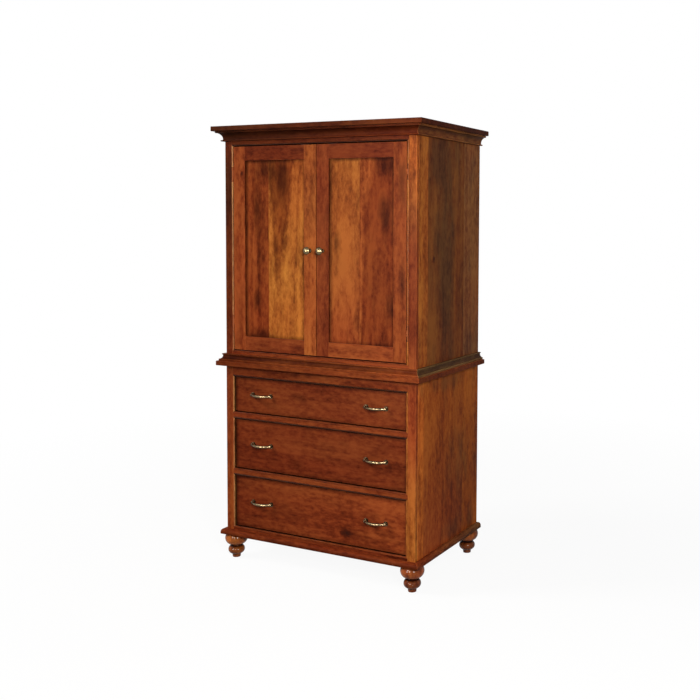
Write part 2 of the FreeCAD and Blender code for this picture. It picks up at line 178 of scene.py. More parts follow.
# Fields of noise in the wood: how often each changes in a metre along, across and through the grain,
# a place of its own in the noise, its detail and its roughness
WOOD_FIELDS = {
    "slow": ((1.5, 6.5, 6.5), 0.4, 3.0, 0.55),
    "quick": ((11.0, 30.0, 30.0), 17.3, 3.0, 0.6),
    "cloud": ((2.8, 9.5, 9.5), 3.1, 3.0, 0.6),
    "mottle": ((32.0, 70.0, 70.0), 11.9, 3.0, 0.68),
    "streak": ((2.6, 80.0, 80.0), 9.7, 2.0, 0.6),
    "fibre": ((26.0, 900.0, 900.0), 0.0, 2.0, 0.6),
    "warmth": ((2.0, 6.5, 6.5), 21.7, 2.0, 0.5),
    "blot": ((4.2, 15.0, 15.0), 13.3, 4.0, 0.68),
    "fleck": ((30.0, 260.0, 260.0), 5.9, 1.0, 0.5),
}
# Detail, roughness and scale of the noise in a knot's outline, and how far it moves that, in knot sizes
KNOT_NOISE, KNOT_RAGGED = (2.0, 0.6, 1.3), 1.4
# How far the rings are pushed out by the noise and round a knot, in metres
SLOW_PUSH, QUICK_PUSH, KNOT_PUSH = 0.07, 0.022, 0.020
# How often the rings change in a metre, how far they shift between boards, their detail and roughness
RINGS, RING_SHIFT, RING_DETAIL, RING_ROUGHNESS = 36.0, 7.3, 2.0, 0.5
# How strongly gathered stain and painted shade draw out the blots
STAIN_AND_SHADE_PULL = 0.3
# Where each part of the figure begins and is full
KNOT_CORE, KNOT_HALO = (1.7, 0.7), (5.0, 1.0)
HEARTWOOD_EDGE, WARMTH_EDGE, BLOT_EDGE = (0.004, -0.010), (0.42, 0.62), (0.53, 0.78)
FLECK_EDGE, HOLLOW_SHADE_EDGE = (0.74, 0.80), (0.95, 0.45)
# The figure: where it is level, each part's middle and weight in it, and its tints from the darkest lines
FIGURE_LEVEL = 0.5
FIGURE_PARTS = {
    "ring": (0.5, 0.75), "cloud": (0.5, 1.1), "mottle": (0.5, 1.15), "streak": (0.5, 0.30),
    "fibre": (0.5, 0.25), "halo": (0.0, -0.12), "core": (0.0, -0.4),
}
FIGURE_TINTS = (
    (0.18, (0.34, 0.25, 0.28)), (0.38, (0.60, 0.48, 0.52)),
    (0.56, (0.82, 0.75, 0.77)), (0.78, (1.0, 1.0, 1.0)),
)
HEARTWOOD_TINT, WARM_TINT, BLOT_TINT = (0.62, 0.48, 0.50), (0.95, 0.82, 0.86), (0.34, 0.33, 0.36)
# Tint of painted shade in hollows, and tint of worn edges, lightened partly by wear and partly as a painted
# highlight
HOLLOW_SHADE_TINT, WORN_AND_LIT_TINT = (0.22, 0.17, 0.20), (1.45, 1.5, 1.6)
KNOT_COLOUR, KNOT_SHARE = (0.028, 0.008, 0.005), 0.85
FLECK_COLOUR, FLECK_SHARE = (0.030, 0.010, 0.006), 0.45
# How far painted shade in hollows reaches, and how strongly worn edges are lightened, partly as a painted
# highlight
WOOD_HOLLOW_SHADE_REACH, WEAR_AND_HIGHLIGHT_GAIN = 0.025, 2.0
# Heights of fibres, rings and flecks, and how strong and how high the relief is
FIBRE_HEIGHT, RING_HEIGHT, FLECK_DEPTH = 0.7, 0.3, 0.6
WOOD_BUMP, WOOD_RELIEF = 0.16, 0.0004


def wood(name, rough=(0.34, 0.5), gloss=0.05, rings=1.0, clouds=1.0, fibres=1.0, wear_and_highlight=0.6, blots=0.75,
         hollows=0.0, blot_tint=BLOT_TINT):
    """Stained cherry: rings round a board's heart, clouds, blots drawn out also by painted shade, fibres,
    flecks, knots, painted shade in its hollows, and worn edges lightened partly as a painted highlight.
    """
    g = Graph(name)
    grain, knot = g.attribute("grain", "Vector"), g.attribute("knot", "Vector")
    tone = g.attribute("tone", "Color")
    board, edge, stain_and_shade, flame = (g.attribute(n, "Fac") for n in ("board", "edge", "stain_and_shade", "flame_reach"))
    field = {
        key: g.noise(g.vector("MULTIPLY", grain, stretch), g.math("ADD", board, place), detail, roughness)
        for key, (stretch, place, detail, roughness) in WOOD_FIELDS.items()
    }

    away = g.math("MULTIPLY_ADD", g.noise(knot, board, *KNOT_NOISE), KNOT_RAGGED, g.length(knot))
    core, halo = g.clamped(away, *KNOT_CORE), g.clamped(away, *KNOT_HALO)
    radius = g.length(g.vector("MULTIPLY", grain, (0.0, 1.0, 1.0)))
    for part, push in ((field["slow"], SLOW_PUSH), (field["quick"], QUICK_PUSH), (halo, KNOT_PUSH)):
        radius = g.math("MULTIPLY_ADD", part, push, radius)
    turn = g.math("MULTIPLY_ADD", radius, RINGS, g.math("MULTIPLY", board, RING_SHIFT))
    values = {"W": turn, "Scale": 1.0, "Detail": RING_DETAIL, "Roughness": RING_ROUGHNESS}
    ring = g.add("ShaderNodeTexNoise", values, noise_dimensions="1D").outputs[0]

    parts = {**field, "ring": ring, "halo": halo, "core": core}
    strength = {"ring": rings, "cloud": clouds, "streak": fibres, "fibre": fibres}
    figure = FIGURE_LEVEL
    for key, (middle, weight) in FIGURE_PARTS.items():
        swing = g.math("SUBTRACT", parts[key], middle)
        figure = g.math("MULTIPLY_ADD", swing, weight * strength.get(key, 1.0), figure)
    colour = g.mix(1.0, tone, g.ramp(figure, FIGURE_TINTS), "MULTIPLY")
    heartwood = g.clamped(g.math("SUBTRACT", radius, flame), *HEARTWOOD_EDGE)
    colour = g.tinted(heartwood, colour, HEARTWOOD_TINT)
    colour = g.tinted(g.clamped(field["warmth"], *WARMTH_EDGE), colour, WARM_TINT)
    # Stains and painted shade gathered on the piece draw out its dark blots
    darkening = g.math("MULTIPLY_ADD", stain_and_shade, STAIN_AND_SHADE_PULL, field["blot"])
    colour = g.tinted(g.math("MULTIPLY", g.clamped(darkening, *BLOT_EDGE), blots), colour, blot_tint)
    colour = g.mix(g.math("MULTIPLY", core, KNOT_SHARE), colour, (*KNOT_COLOUR, 1.0))
    fleck = g.clamped(field["fleck"], *FLECK_EDGE)
    colour = g.mix(g.math("MULTIPLY", fleck, FLECK_SHARE), colour, (*FLECK_COLOUR, 1.0))
    # Painted shade in the piece's own hollows
    if hollows:
        hollow_shade = g.clamped(g.open_share(WOOD_HOLLOW_SHADE_REACH), *HOLLOW_SHADE_EDGE)
        colour = g.tinted(g.math("MULTIPLY", hollow_shade, hollows), colour, HOLLOW_SHADE_TINT)
    # Worn edges lightened partly by wear and partly as a painted highlight
    worn = g.math("MULTIPLY", edge, g.math("MULTIPLY", field["cloud"], wear_and_highlight * WEAR_AND_HIGHLIGHT_GAIN))
    colour = g.mix(worn, colour, g.vector("MULTIPLY", tone, WORN_AND_LIT_TINT))
    g.put(g.shader.inputs["Base Color"], colour)

    g.put(g.shader.inputs["Roughness"], g.span(g.average(field["fibre"], field["cloud"]), *rough))
    g.shader.inputs["Specular IOR Level"].default_value = gloss
    relief = g.math("MULTIPLY_ADD", field["fibre"], FIBRE_HEIGHT, g.math("MULTIPLY", ring, RING_HEIGHT))
    g.bump(g.math("SUBTRACT", relief, g.math("MULTIPLY", fleck, FLECK_DEPTH)), WOOD_BUMP, WOOD_RELIEF)
    return g.material


# Patches and scratches in metal: changes in a metre, a place of its own in the noise, detail and roughness
PATCHES, SCRATCHES = (160.0, 0.7, 3.0, 0.6), (900.0, 2.3, 2.0, 0.6)
# How strongly the patches show, the least share of the bright colour on open metal, and how far off a
# hollow's walls count
PATCH_CONTRAST, LEAST_BRIGHT, METAL_HOLLOW_REACH = 0.9, 0.25, 0.003
SCRATCH_HEIGHT, METAL_BUMP, METAL_RELIEF = 0.6, 0.08, 0.0002


def metal(name, bright, dull, rough):
    """Cast or drawn metal with a patina that gathers in patches and in its hollows."""
    g = Graph(name)
    place = g.add("ShaderNodeTexCoord").outputs["Object"]
    patch, scratch = g.even_noise(place, *PATCHES), g.even_noise(place, *SCRATCHES)
    clean = g.math("MULTIPLY_ADD", patch, PATCH_CONTRAST, LEAST_BRIGHT)
    share = g.math("MULTIPLY", clean, g.open_share(METAL_HOLLOW_REACH))
    g.put(g.shader.inputs["Base Color"], g.mix(share, (*dull, 1.0), (*bright, 1.0)))
    g.shader.inputs["Metallic"].default_value = 1.0
    g.put(g.shader.inputs["Roughness"], g.span(g.average(scratch, patch), *rough))
    g.bump(g.math("MULTIPLY_ADD", scratch, SCRATCH_HEIGHT, patch), METAL_BUMP, METAL_RELIEF)
    return g.material


# Grains and clouds in plastic, said as for metal, its roughness and its relief
GRAINS, PLASTIC_CLOUDS = (1400.0, 0.0, 2.0, 0.6), (60.0, 1.0, 2.0, 0.5)
PLASTIC_ROUGH, PLASTIC_BUMP, PLASTIC_RELIEF = (0.45, 0.7), 0.2, 0.0002


def plastic(name, colour, other):
    """Moulded plastic with a fine grain."""
    g = Graph(name)
    place = g.add("ShaderNodeTexCoord").outputs["Object"]
    grain, cloud = g.even_noise(place, *GRAINS), g.even_noise(place, *PLASTIC_CLOUDS)
    g.put(g.shader.inputs["Base Color"], g.mix(cloud, (*colour, 1.0), (*other, 1.0)))
    g.put(g.shader.inputs["Roughness"], g.span(grain, *PLASTIC_ROUGH))
    g.bump(grain, PLASTIC_BUMP, PLASTIC_RELIEF)
    return g.material


# The sides are stained browner than the front
SIDE_BLOT_TINT = (0.42, 0.58, 0.92)
materials = {
    "frame_wood": wood("cherry_frame", gloss=0.015, rings=0.9, wear_and_highlight=0.4, blots=0.8),
    "panel_wood": wood("cherry_panel", gloss=0.012, rings=1.2, blots=1.0),
    "drawer_wood": wood("cherry_drawer", gloss=0.015, rings=0.6, clouds=0.8, blots=0.6),
    "side_wood": wood("cherry_side", rough=(0.4, 0.56), gloss=0.015, rings=0.5, clouds=1.1, blots=0.8,
                      blot_tint=SIDE_BLOT_TINT),
    "moulding_wood": wood("cherry_moulding", gloss=0.012, rings=0.6, clouds=0.9, wear_and_highlight=0.9, hollows=1.0),
    "bead_wood": wood("cherry_bead", rough=(0.2, 0.3), gloss=0.04, rings=0.4, clouds=0.6, blots=0.3),
    "inner_wood": wood("plain_inside", rough=(0.5, 0.68), rings=0.4, clouds=0.3, fibres=0.6, blots=0.1),
    "back_wood": wood("plain_back", rough=(0.5, 0.7), rings=0.6, clouds=0.4, blots=0.1),
    "pull_metal": metal("antique_nickel", (0.17, 0.122, 0.066), (0.07, 0.047, 0.022), (0.2, 0.3)),
    "hinge_metal": metal("wood_bronze", (0.14, 0.038, 0.013), (0.08, 0.021, 0.008), (0.6, 0.75)),
    "peg_metal": metal("peg_steel", (0.60, 0.58, 0.55), (0.34, 0.32, 0.30), (0.24, 0.38)),
    "catch_plastic": plastic("catch_brown", linear(58, 38, 26), linear(44, 29, 20)),
}
turned_wood = wood("cherry_turned", rough=(0.06, 0.11), gloss=0.09, rings=0.7, clouds=0.8, hollows=1.0)
knob_metal = metal("satin_nickel", (0.18, 0.130, 0.066), (0.05, 0.034, 0.016), (0.18, 0.28))

# Gap round the doors and drawer fronts, and a step from a face into its solid
RUNNING_GAP, INWARD = 0.0025, 2e-4

# Openings that the beads go round: half the width, underside and top
opening_half = -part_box("left_door_hinge_stile")[0].x + RUNNING_GAP
openings = []
for front in ("left_door_hinge_stile", "bottom_drawer_front", "middle_drawer_front", "top_drawer_front"):
    low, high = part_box(front)
    openings.append((low.z - RUNNING_GAP, high.z + RUNNING_GAP))


def strip_of(point):
    """Which of the mitred strips round which opening a point lies in."""
    past = [max(low - point.z, point.z - high) for low, high in openings]
    nearest = min(range(len(openings)), key=lambda i: abs(past[i]) if past[i] > 0 else 0.0)
    low, high = openings[nearest]
    if abs(point.x) - opening_half > past[nearest]:
        return nearest, "left" if point.x < 0 else "right"
    return nearest, "over" if point.z > (low + high) / 2 else "under"


def solids(node):
    """The node's triangles, solid by solid where strips meet on their mitres."""
    source = nodes[node].data
    found = {}
    for face in source.polygons:
        key = strip_of(face.center - face.normal * INWARD) if node.endswith("beads") else 0
        found.setdefault(key, []).append([source.vertices[i].co for i in face.vertices])
    return [found[key] for key in sorted(found, key=str)]


def islands(bm):
    """Faces that hang together, as lists."""
    seen, found = set(), []
    for face in bm.faces:
        if face in seen:
            continue
        todo, group = [face], []
        seen.add(face)
        while todo:
            current = todo.pop()
            group.append(current)
            for e in current.edges:
                for other in e.link_faces:
                    if other not in seen:
                        seen.add(other)
                        todo.append(other)
        found.append(group)
    return found


# How the CAD meshes are joined up and softened, in metres and radians
MERGE, FLAT = 2e-6, 0.004
SHARP, SMOOTH = math.radians(28), math.radians(35)
ROUND_SEGMENTS = 2


def softened(node, width):
    """A copy of the node with flat facets joined and its outer edges rounded."""
    whole = bmesh.new()
    mark = whole.faces.layers.int.new("mark")
    for triangles in solids(node):
        bm = bmesh.new()
        for corners in triangles:
            bm.faces.new([bm.verts.new(co) for co in corners])
        bmesh.ops.remove_doubles(bm, verts=bm.verts, dist=MERGE)
        bmesh.ops.dissolve_limit(bm, angle_limit=FLAT, verts=bm.verts, edges=bm.edges)
        rounded = set()
        if width:
            sharp = [e for e in bm.edges if e.is_manifold and e.is_convex and e.calc_face_angle() > SHARP]
            made = bmesh.ops.bevel(bm, geom=sharp, offset=width, offset_type="OFFSET", affect="EDGES",
                                   segments=ROUND_SEGMENTS, profile=0.5, clamp_overlap=True)
            rounded = set(made["faces"])
        twin = {v: whole.verts.new(v.co) for v in bm.verts}
        for face in bm.faces:
            whole.faces.new([twin[v] for v in face.verts])[mark] = face in rounded
        bm.free()
    return whole


def axes_of(size, along=None):
    """Along, across and through the grain, by a board's size."""
    order = sorted(range(3), key=lambda i: -size[i])
    if along is not None:
        order.remove(along)
        order.insert(0, along)
    return order


def sawn(bm, axis, place):
    """Divides the faces where a plane across an axis meets them."""
    point, normal = Vector((0, 0, 0)), Vector((0, 0, 0))
    point[axis], normal[axis] = place, 1
    bmesh.ops.bisect_plane(bm, geom=bm.verts[:] + bm.edges[:] + bm.faces[:], plane_co=point, plane_no=normal)


# Size of the cells that a board with spots of stain and painted shadow is divided into
SPOT_CELL = 0.02


def divide(bm, low, high, axes, saws, spread, border_shade, stains):
    """Saws a piece at its glue lines, between its tones, round its border of painted shade and into cells for
    its spots of staining and painted shadow.
    """
    length, across = axes
    for place in saws:
        sawn(bm, across, place)
    for i in range(1, spread - 1):
        sawn(bm, length, low[length] + (high[length] - low[length]) * i / (spread - 1))
    if border_shade:
        begins, border = border_shade[:2]
        for axis in axes:
            for inset in (begins, begins + border):
                sawn(bm, axis, low[axis] + inset)
                sawn(bm, axis, high[axis] - inset)
    if stains:
        for axis in axes:
            cells = math.ceil((high[axis] - low[axis]) / SPOT_CELL)
            for i in range(1, cells):
                sawn(bm, axis, low[axis] + (high[axis] - low[axis]) * i / cells)


# A knot is a place along and across its board and a size, and this one lies far outside
NO_KNOT = (9.0, 9.0, 0.01)
# A knot reaches further along the grain than across it, so distances along it count for less
KNOT_ALONG_SHARE = 0.7
# How far dark heartwood reaches from a board's heart where there is none
NO_FLAME = -1.0
# How far the rings are pushed out on average as they waver
WOBBLE = 0.046
# How far a heart may lie from a board's middle, as a share of its width, and how deep and how steep
HEART_SPREAD, HEART_DEPTH, HEART_TAPER = 0.45, (0.012, 0.06), (0.012, 0.04)
# How much darker or lighter a board may be than its tone, and how far apart boards may lie in the noise
SHADES, LAST_SEED = (0.96, 1.04), 50


class Board:
    """One board: its heart and how far dark heartwood reaches, its tones from end to end, and its knot."""

    def __init__(self, node, number, low, high, tones, hearts, knots):
        draw = random.Random(f"{node} {number}")
        heart = (low + high) / 2 + (high - low) * draw.uniform(-HEART_SPREAD, HEART_SPREAD)
        depth, taper = draw.uniform(*HEART_DEPTH), draw.choice((-1, 1)) * draw.uniform(*HEART_TAPER)
        lie = hearts.get(number, (heart, depth, taper, NO_FLAME))
        self.heart, self.depth, self.taper, self.flame = lie
        shade = draw.uniform(*SHADES)
        names = tones[number % len(tones)]
        names = names if isinstance(names, tuple) else (names, names)
        self.stops = [
            Vector([x * k * shade for x, k in zip(TONES[name], STREAK_LIGHT)]) for name in names
        ]
        self.seed = draw.uniform(0, LAST_SEED)
        self.knot = knots.get(number, NO_KNOT)

    def tone(self, way):
        """The tone at a share of the way from the board's low end to its high end."""
        way *= len(self.stops) - 1
        stop = min(int(way), len(self.stops) - 2)
        return self.stops[stop].lerp(self.stops[stop + 1], way - stop)


# A face whose normal points no further forward than this share lines a gap, where it gets painted shade
SIDEWAYS = 0.3
# How fast painted shade darkens a face as it turns to look down
STEEPNESS = 1.5
# End grain takes more stain: how far a face turns to the board's end, and the share of colour left there
END_ON, END_SHARE = 0.8, 0.5
# How far a face turns to the opening to be on a bead's inner side, and for each strip the way there and
# the shares of colour left on that side as painted shade, at the doors and at the drawers
INNER = 0.15
INNER_SIDE_SHADE = {
    "left": ((1, 0, 0), 1.0, 1.0), "right": ((-1, 0, 0), 1.0, 1.0), "over": ((0, 0, -1), 0.15, 0.2),
    "under": ((0, 0, 1), 0.2, 0.45),
}


def inner_side(node, middle):
    """The way to the opening from a bead strip, and the share of colour left as painted shade on the side
    that looks there.
    """
    if not node.endswith("beads"):
        return Vector((0, 0, 0)), 1.0
    inward, at_doors, at_drawers = INNER_SIDE_SHADE[strip_of(middle)[1]]
    return Vector(inward), at_drawers if node.startswith("drawer") else at_doors


def shade_and_stain_share(face, length, reveal, under, inward, inner_shade_share):
    """The share of colour left on a face: painted shade where it lines a gap, looks down or looks to a bead's
    opening, and end grain darkened by staining.
    """
    share = reveal if abs(face.normal.y) < SIDEWAYS else 1.0
    share *= 1 - (1 - under) * min(max(-face.normal.z * STEEPNESS, 0.0), 1.0)
    if abs(face.normal[length]) > END_ON:
        share *= END_SHARE
    if face.normal.dot(inward) > INNER:
        share *= inner_shade_share
    return share


def darkening_at(co, axes, stains, bands):
    """How dark a place is from spots of staining and painted shadow, and from bands, some of them painted
    shade.
    """
    length, across = axes
    spots = sum(most * math.exp(-((co[length] - p) / half_p) ** 2 - ((co[across] - q) / half_q) ** 2)
                for p, q, half_p, half_q, most in stains)
    return spots + sum(most * math.exp(-((co.z - height) / half) ** 2) for height, half, most in bands)


# Digits of a metre that tell corners apart
ORDER_DIGITS = 4


def first_corner(faces):
    """An island's leftmost corner, which puts boards in order from the left, the front and below."""
    return tuple(round(x, ORDER_DIGITS) for x in min(v.co.to_tuple() for f in faces for v in f.verts))


def placed(bm, node, finish):
    """The finished mesh as a piece in place of its node."""
    mesh = bpy.data.meshes.new(node + "_wood")
    bmesh.ops.recalc_face_normals(bm, faces=bm.faces)
    bm.to_mesh(mesh)
    bm.free()
    mesh.shade_smooth()
    mesh.set_sharp_from_angle(angle=SMOOTH)
    mesh.materials.append(finish or materials[slot_of[node]])
    piece = bpy.data.objects.new(node + "_wood", mesh)
    bpy.context.scene.collection.objects.link(piece)
    piece.modifiers.new("soft_shading", "WEIGHTED_NORMAL").keep_sharp = True
    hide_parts(node)
    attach(piece, body_of[node])
    return piece


# Rounding of the outer edges
FRAME_EDGE, SIDE_EDGE, UPPER_STILE_EDGE, CHEST_STILE_EDGE = 0.0005, 0.0008, 0.0025, 0.0012
SHAPED_EDGE, BOX_EDGE, BACK_EDGE, NO_EDGE = 0.001, 0.0006, 0.0004, 0.0
# Painted shade along a piece's shaded border, added to what draws out its blots
BORDER_SHADE_DARKENING = 0.5


def dress(node, tones, width=FRAME_EDGE, saws=(), along=None, hearts=None, knots=None, finish=None,
          reveal=1.0, under=1.0, border_shade=None, stains=(), bands=()):
    """A wooden piece in place of a CAD node.

    Tones, hearts and knots go board by board, and several tones for one board are spread evenly from its
    low to its high end. Saws are the glue lines across the piece. Reveal and under are the shares of colour
    left as painted shade on faces that line a gap and on faces that look down. A shaded border, painted shade
    round the piece's face, is given by where it begins, how wide it is and the share of colour left there.
    Stains are places along and across the piece, their reach each way, and how dark they are there; most are
    stains in the wood and some are painted shadow. Bands are heights, their reach, and how dark they are
    there; some of them are painted shade.
    """
    bm = softened(node, width)
    low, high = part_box(node)
    axes = axes_of(high - low, along)[:2]
    spread = max(len(tone) if isinstance(tone, tuple) else 1 for tone in tones)
    divide(bm, low, high, axes, saws, spread, border_shade, stains)
    bm.normal_update()
    mark = bm.faces.layers.int["mark"]
    layers = bm.loops.layers
    grain, tone = layers.float_vector.new("grain"), layers.float_color.new("tone")
    seed, edge = layers.float.new("board"), layers.float.new("edge")
    knot, stain_and_shade = layers.float_vector.new("knot"), layers.float.new("stain_and_shade")
    flame = layers.float.new("flame_reach")
    groups = islands(bm)
    if not node.endswith("beads"):
        groups.sort(key=first_corner)
    count = 0
    for faces in groups:
        corners = [v.co for f in faces for v in f.verts]
        lowest = Vector([min(c[i] for c in corners) for i in range(3)])
        highest = Vector([max(c[i] for c in corners) for i in range(3)])
        middle = (lowest + highest) / 2
        a, b, c = axes_of(highest - lowest, along)
        inside = [s for s in saws if lowest[b] < s < highest[b]] if b == axes[1] else []
        cuts = [lowest[b], *inside, highest[b]]
        boards = [Board(node, number, *ends, tones, hearts or {}, knots or {})
                  for number, ends in enumerate(zip(cuts, cuts[1:]), count)]
        count += len(boards)
        inward, inner_shade_share = inner_side(node, middle)
        for face in faces:
            which = min(bisect.bisect(cuts, face.calc_center_median()[b]) - 1, len(boards) - 1)
            board = boards[max(which, 0)]
            share = shade_and_stain_share(face, a, reveal, under, inward, inner_shade_share)
            knot_along, knot_across, knot_size = board.knot
            for loop in face.loops:
                co = loop.vert.co
                run = co[a] - middle[a]
                light = board.tone((co[a] - lowest[a]) / (highest[a] - lowest[a])) * share
                darkening = darkening_at(co, axes, stains, bands)
                # Painted shade darkens the border round the piece's face and adds to its darkening there
                if border_shade:
                    begins, border, kept = border_shade
                    edge_gap = min(min(co[i] - low[i], high[i] - co[i]) for i in axes)
                    inner = min(max((edge_gap - begins) / border, 0.0), 1.0)
                    light *= kept + (1 - kept) * inner
                    darkening += BORDER_SHADE_DARKENING * (1 - inner)
                through = board.depth + co[c] - middle[c] + board.taper * run
                loop[grain] = Vector((run, co[b] - board.heart, through))
                loop[tone] = (*light, 1.0)
                loop[stain_and_shade], loop[flame] = min(darkening, 1.0), board.flame + WOBBLE
                loop[seed] = board.seed
                loop[edge] = float(face[mark])
                away = Vector(((co[a] - knot_along) * KNOT_ALONG_SHARE, co[b] - knot_across, 0))
                loop[knot] = away / knot_size
    return placed(bm, node, finish)


# Number of the upright axis
Z = 2

# Case sides, board by board from the front
UPPER_SIDE_TONES, UPPER_SIDE_SAWS = ("honey", "walnut", "fawn"), (-0.18, 0.152)
UPPER_SIDE_KNOTS = {1: (1.363, -0.126, 0.012)}
UPPER_SIDE_STAINS = (
    (1.80, -0.07, 0.12, 0.14, 0.8), (1.55, -0.05, 0.20, 0.12, 0.8), (1.30, -0.02, 0.20, 0.12, 0.7),
    (1.05, 0.00, 0.20, 0.11, 0.7), (0.97, 0.22, 0.06, 0.12, 0.4),
)
CHEST_SIDE_TONES = ("copper", ("cherry", "ginger"), ("cherry", "ginger"), "ginger")
CHEST_SIDE_SAWS = (-0.206, -0.05, 0.152)
# The first dark spot on the chest sides, a band along their top, is painted shadow under the waist; the
# others are stains in the wood
CHEST_SIDE_STAINS_AND_SHADOW = (
    (0.83, 0.02, 0.04, 0.20, 0.8), (0.42, 0.14, 0.16, 0.08, 0.7), (0.17, 0.06, 0.05, 0.10, 0.6),
    (0.17, 0.24, 0.06, 0.06, 0.6),
)
for side in ("left", "right"):
    dress(f"upper_{side}_side", UPPER_SIDE_TONES, SIDE_EDGE, UPPER_SIDE_SAWS, knots=UPPER_SIDE_KNOTS,
          stains=UPPER_SIDE_STAINS)
    dress(f"chest_{side}_side", CHEST_SIDE_TONES, SIDE_EDGE, CHEST_SIDE_SAWS, Z, stains=CHEST_SIDE_STAINS_AND_SHADOW)

# Door panels, two boards each, from the left, with a border of painted shade inside their frames
PANEL_BORDER_SHADE = (0.010, 0.016, 0.8)
LEFT_PANEL_SAWS, LEFT_PANEL_HEARTS = (-0.253,), {1: (-0.186, 0.066, -0.062, 0.07)}
LEFT_PANEL_STAINS = (
    (1.744, -0.29, 0.05, 0.06, 0.8), (1.70, -0.175, 0.10, 0.035, 1.0), (1.59, -0.32, 0.08, 0.018, 0.8),
    (1.28, -0.31, 0.10, 0.012, 0.9), (1.16, -0.325, 0.05, 0.02, 1.0), (1.02, -0.29, 0.03, 0.06, 1.0),
)
RIGHT_PANEL_SAWS = (0.21,)
RIGHT_PANEL_HEARTS = {0: (0.12, 0.13, 0.04, NO_FLAME), 1: (0.328, 0.072, 0.109, 0.118)}
# Dark spots on the right panel: the long narrow one along its left edge is the meeting stile's painted
# shadow, the others are stains in the wood
RIGHT_PANEL_STAINS_AND_SHADOW = (
    (1.65, 0.237, 0.06, 0.02, 0.9), (1.746, 0.343, 0.05, 0.04, 1.0), (1.55, 0.335, 0.07, 0.03, 0.8),
    (1.43, 0.095, 0.04, 0.012, 0.9), (1.30, 0.09, 0.03, 0.012, 0.7), (1.17, 0.35, 0.06, 0.02, 0.9),
    (1.60, 0.045, 0.25, 0.02, 0.9), (1.10, 0.20, 0.05, 0.012, 0.7),
)
dress("left_door_panel", ("rust", ("gold", "honey")), NO_EDGE, LEFT_PANEL_SAWS,
      hearts=LEFT_PANEL_HEARTS, border_shade=PANEL_BORDER_SHADE, stains=LEFT_PANEL_STAINS)
dress("right_door_panel", (("cherry", "honey"), "amber"), NO_EDGE, RIGHT_PANEL_SAWS,
      hearts=RIGHT_PANEL_HEARTS, border_shade=PANEL_BORDER_SHADE, stains=RIGHT_PANEL_STAINS_AND_SHADOW)

# Door frames, with the share of colour left as painted shade on their faces that line the gaps round them
GAP_SHADE_SHARE = 0.4
LEFT_STILE_KNOTS = {0: (1.721, -0.391, 0.008)}
RIGHT_STILE_STAINS = (
    (1.68, 0.41, 0.10, 0.02, 0.9), (1.27, 0.42, 0.06, 0.015, 0.9), (1.08, 0.42, 0.06, 0.012, 0.8),
)
dress("left_door_meeting_stile", ("amber",), reveal=GAP_SHADE_SHARE)
dress("left_door_hinge_stile", ("cherry",), knots=LEFT_STILE_KNOTS, reveal=GAP_SHADE_SHARE)
dress("left_door_rails", ("russet", "brick"), reveal=GAP_SHADE_SHARE)
dress("right_door_meeting_stile", ("russet",), reveal=GAP_SHADE_SHARE)
dress("right_door_hinge_stile", ("rust",), reveal=GAP_SHADE_SHARE, stains=RIGHT_STILE_STAINS)
dress("right_door_rails", ("cherry", "brick"), reveal=GAP_SHADE_SHARE)

# Face frame: left and right stiles from below, rails from the left
UPPER_STILE_TONES = (
    ("russet", "cocoa", "cocoa", "cocoa", "umber", "umber", "brick"),
    ("cherry", "brick", "russet", "russet", "amber", "copper", "copper"),
)
CHEST_STILE_TONES = ("rust", "rust", "russet", "russet"), ("gold", "honey", "cherry", "cherry")
# Rail tones that run darker to the left end are partly the wood's own tone and partly painted shade where
# less light falls on the left
RAIL_TONES = {
    "upper_top_rail": ("cocoa", "brick"), "upper_bottom_rail": "russet",
    "chest_top_rail": ("brick", "cherry"), "drawer_dividers": "russet", "chest_bottom_rail": "brick",
}
dress("upper_stiles", UPPER_STILE_TONES, UPPER_STILE_EDGE)
dress("chest_stiles", CHEST_STILE_TONES, CHEST_STILE_EDGE, along=Z)
for node, tone in RAIL_TONES.items():
    dress(node, (tone,))

# Beads: left, upper, right and lower strip of each opening, with tones that paint light on them: a painted
# highlight lightens the left and right strips and painted shade darkens the upper one; their faces that line
# the gaps keep a small share of colour as painted shade
BEAD_LIT_AND_SHADED_TONES, BEAD_GAP_SHADE_SHARE = ("blond", "umber", "honey", "cherry"), 0.15
for node in ("door_opening_beads", "drawer_opening_beads"):
    dress(node, BEAD_LIT_AND_SHADED_TONES, NO_EDGE, reveal=BEAD_GAP_SHADE_SHARE)

# Drawers: the front's tones, knots and stains, painted shade round its border and on its faces that line the
# gap, and a plain box behind it. Front tones that run darker to the left end are partly the wood's own tone
# and partly painted shade where less light falls on the left
DRAWER_BORDER_SHADE = (0.0, 0.016, 0.75)
DRAWER_LOOKS = {
    "bottom": (("brick", "cherry"), {0: (0.146, 0.203, 0.024)},
               ((-0.32, 0.21, 0.05, 0.02, 0.7), (0.15, 0.2, 0.05, 0.02, 0.7))),
    "middle": (("brick", "brick"), {}, ((-0.11, 0.47, 0.03, 0.02, 0.8),)),
    "top": (("brick", "russet"), {}, ((-0.09, 0.757, 0.05, 0.02, 0.8),)),
}
for name, (tone, knots, stains) in DRAWER_LOOKS.items():
    dress(f"{name}_drawer_front", (tone,), SHAPED_EDGE, knots=knots, reveal=GAP_SHADE_SHARE,
          border_shade=DRAWER_BORDER_SHADE, stains=stains)
    for part in ("sides", "back", "bottom"):
        dress(f"{name}_drawer_{part}", ("pale",), BOX_EDGE)

# Mouldings and top boards, with painted shade where they look down, and dark bands on the mouldings:
# painted shadow under the cornice's slab, and thin darker bands on the waist and the base. A band is the
# end it lies at, how far above that, its reach and how dark it is
UNDERSIDE_SHADE_SHARE = 0.55
MOULDING_BANDS = {
    "cornice": (("top", 0.0, 0.014, 1.0),),
    "waist": (("top", 0.0, 0.005, 0.9), ("bottom", 0.017, 0.009, 0.9)),
    "base": (("bottom", 0.0, 0.010, 0.9),),
}
